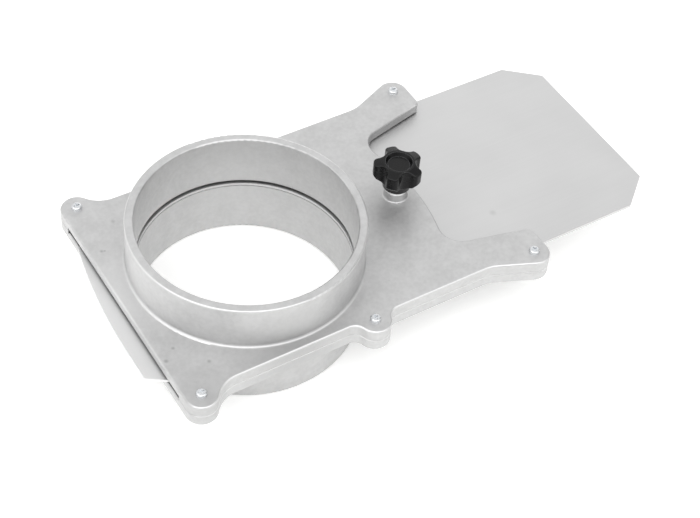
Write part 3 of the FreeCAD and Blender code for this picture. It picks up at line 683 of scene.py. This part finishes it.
# %% Dress the frame
finishes = {
    "upper_half": casting,
    "lower_half": casting,
    "slide_gate": sheet,
    "lock_knob": plastic,
    "lock_stud": zinc,
    "case_screws": zinc,
    "case_nuts": zinc,
}
for node, material in finishes.items():
    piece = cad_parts[node]
    for slot in piece.material_slots:
        slot.material = material
    print(node, "wears", material.name)

# %% [markdown]
# The stud and the screws have real threads. A lathe cuts a thread by moving a tool along a turning
# bar, and the Screw modifier does the same: a short zigzag, one pitch high, is swept round the axis
# and rises by a pitch each turn. Its turns are merged, and the two ends are cut square and closed,
# so it starts a pitch too low and has two turns to spare.
# The crest and the root of a real thread each have a narrow flat, an eighth of the pitch high.

# %% Threads
THREAD_STEPS = 32
FLAT_SHARE = 1 / 8
SPARE_TURNS = 2
MERGE_SHARE = 1 / 1000
SMOOTH_ANGLE = math.radians(20)


def thread(name, crest_radius, depth, pitch, bottom, top, finish):
    """A closed threaded bar between two heights, round the duct's axis until it is moved."""
    flat = pitch * FLAT_SHARE
    rise = (pitch - 2 * flat) / 2
    zigzag = ((0, 0, flat), (depth, 0, rise), (0, 0, flat), (-depth, 0, rise))
    deselect_all()
    bpy.ops.mesh.primitive_plane_add(size=depth, location=(crest_radius - depth, 0, bottom - pitch))
    bar = bpy.context.object
    bar.name = name
    bpy.ops.object.transform_apply(location=True, rotation=False, scale=False)
    bpy.ops.object.mode_set(mode="EDIT")
    bpy.ops.mesh.select_all(action="SELECT")
    bpy.ops.mesh.merge(type="CENTER")
    for step in zigzag:
        bpy.ops.mesh.extrude_region_move(TRANSFORM_OT_translate={"value": step})
    bpy.ops.object.mode_set(mode="OBJECT")
    sweep = bar.modifiers.new("sweep", "SCREW")
    sweep.axis = "Z"
    sweep.screw_offset = pitch
    sweep.iterations = math.ceil((top - bottom) / pitch) + SPARE_TURNS
    sweep.steps = THREAD_STEPS
    sweep.render_steps = THREAD_STEPS
    bpy.ops.object.modifier_apply(modifier=sweep.name)
    bpy.ops.object.mode_set(mode="EDIT")
    bpy.ops.mesh.select_all(action="SELECT")
    bpy.ops.mesh.remove_doubles(threshold=pitch * MERGE_SHARE)
    bpy.ops.mesh.bisect(plane_co=(0, 0, bottom), plane_no=(0, 0, 1), clear_inner=True, use_fill=True)
    bpy.ops.mesh.select_all(action="SELECT")
    bpy.ops.mesh.bisect(plane_co=(0, 0, top), plane_no=(0, 0, 1), clear_outer=True, use_fill=True)
    bpy.ops.mesh.select_all(action="SELECT")
    bpy.ops.mesh.normals_make_consistent(inside=False)
    bpy.ops.object.mode_set(mode="OBJECT")
    bpy.ops.object.shade_smooth_by_angle(angle=SMOOTH_ANGLE)
    bar.data.materials.append(finish)
    print(name, "turns:", round((top - bottom) / pitch, 1), "faces:", len(bar.data.polygons))
    return bar


def move_mesh(piece, away):
    """Moves the mesh and leaves the object at the origin, where every piece's object stays."""
    deselect_all()
    piece.select_set(True)
    bpy.context.view_layer.objects.active = piece
    bpy.ops.object.mode_set(mode="EDIT")
    bpy.ops.mesh.select_all(action="SELECT")
    bpy.ops.transform.translate(value=away)
    bpy.ops.object.mode_set(mode="OBJECT")


# %% [markdown]
# The stud's thread stands in for its plain solid, and shows when the knob is screwed out. Its height
# and radius come from the solid's box.

# %% Stud
STUD_PITCH = 1.411 * MM
STUD_THREAD_DEPTH = 0.75 * MM

stud_low, stud_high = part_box("lock_stud")
stud = thread("threaded_stud", (stud_high[0] - stud_low[0]) / 2, STUD_THREAD_DEPTH, STUD_PITCH,
              stud_low[2], stud_high[2], zinc)
move_mesh(stud, ((stud_low[0] + stud_high[0]) / 2, (stud_low[1] + stud_high[1]) / 2, 0))
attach(stud, "lock_screw")
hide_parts("lock_stud")

# %% [markdown]
# The screws keep their solids, and only their ends, which show below the nuts, get threads that
# stand a little proud. One end is modelled and copied to the other five places, each copy with its
# own mesh. The places are worked out from the box of all the screws, whose heads reach its sides.

# %% Screw ends
HEAD_RADIUS = 3.45 * MM
SCREW_RADIUS = 1.75 * MM
POINT_HEIGHT = 0.6 * MM
SCREW_PITCH = 0.794 * MM
SCREW_THREAD_DEPTH = 0.16 * MM
THREAD_PROUD = 0.12 * MM

screws_low, screws_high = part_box("case_screws")
nuts_low, nuts_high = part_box("case_nuts")
left = screws_low[0] + HEAD_RADIUS
right = screws_high[0] - HEAD_RADIUS
across = screws_high[1] - HEAD_RADIUS
places = {}
for number, x in enumerate((left, (left + right) / 2, right)):
    places[f"screw_end_{number}_front"] = (x, -across, 0)
    places[f"screw_end_{number}_back"] = (x, across, 0)

first = thread("screw_end_0_front", SCREW_RADIUS + THREAD_PROUD, SCREW_THREAD_DEPTH, SCREW_PITCH,
               screws_low[2] + POINT_HEIGHT, nuts_low[2], zinc)
ends = {first.name: first}
for name in list(places)[1:]:
    deselect_all()
    first.select_set(True)
    bpy.context.view_layer.objects.active = first
    bpy.ops.object.duplicate(linked=False)
    ends[name] = bpy.context.object
    ends[name].name = name
for name, end in ends.items():
    move_mesh(end, places[name])
    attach(end, "case")
print("screw ends:", len(ends))
